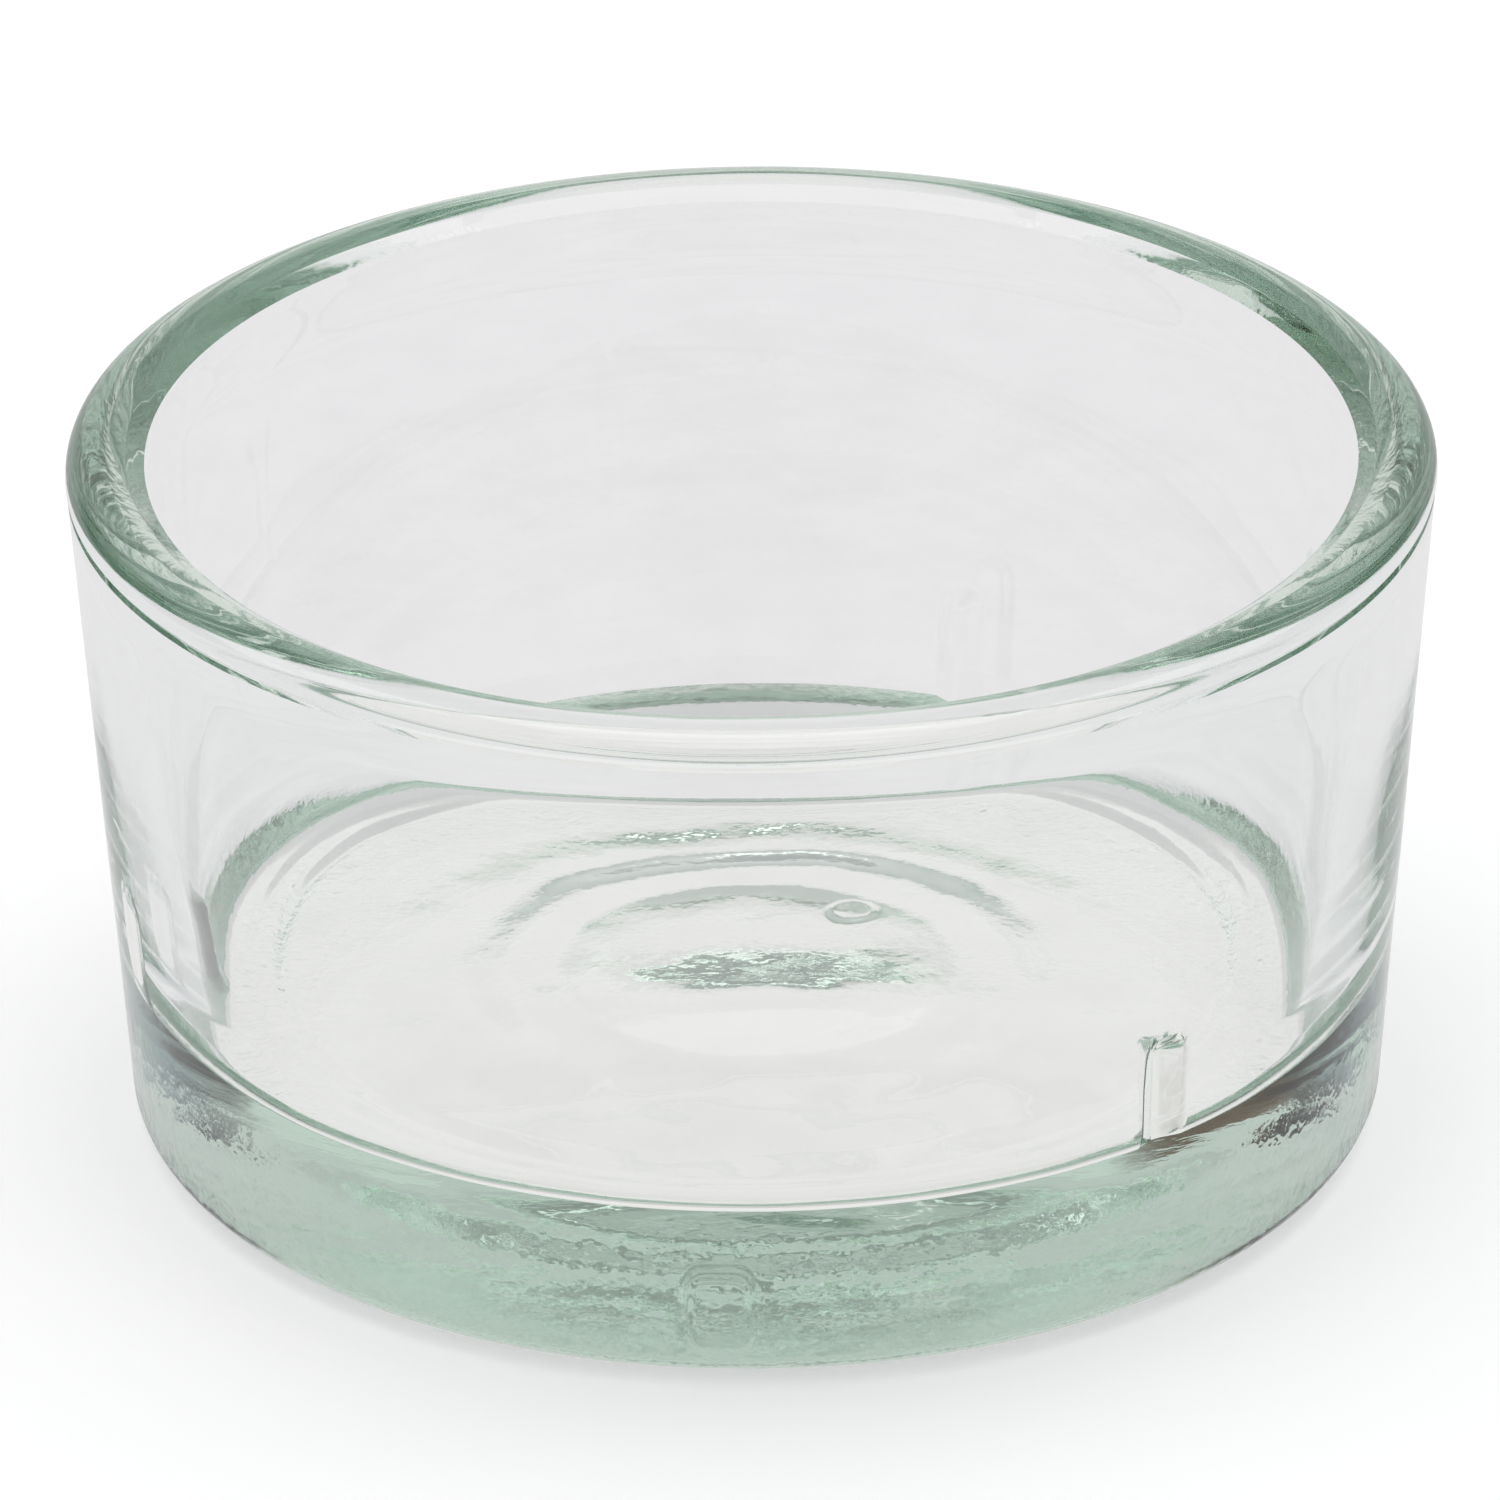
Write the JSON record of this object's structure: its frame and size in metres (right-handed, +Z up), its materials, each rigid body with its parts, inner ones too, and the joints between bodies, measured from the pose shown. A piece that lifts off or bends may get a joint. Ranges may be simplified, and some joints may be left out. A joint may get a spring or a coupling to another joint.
{
  "type": "tealight cup",
  "caption": "Low round clear glass cup with a thick base, sloping wall and rounded rim, with small upright ribs inside that keep a tealight centred.",
  "frame": {"origin": "centre of the cup's foot, on the surface it stands on", "axes": "+Z up along the cup's axis; -Y faces the front; +X is to the right seen from the front"},
  "size_m": [0.052, 0.052, 0.0278],
  "materials": {
    "clear_glass": "clear pressed glass with a faint green tint"
  },
  "bodies": {
    "root": {"glass_cup": "clear_glass"}
  },
  "joints": []
}
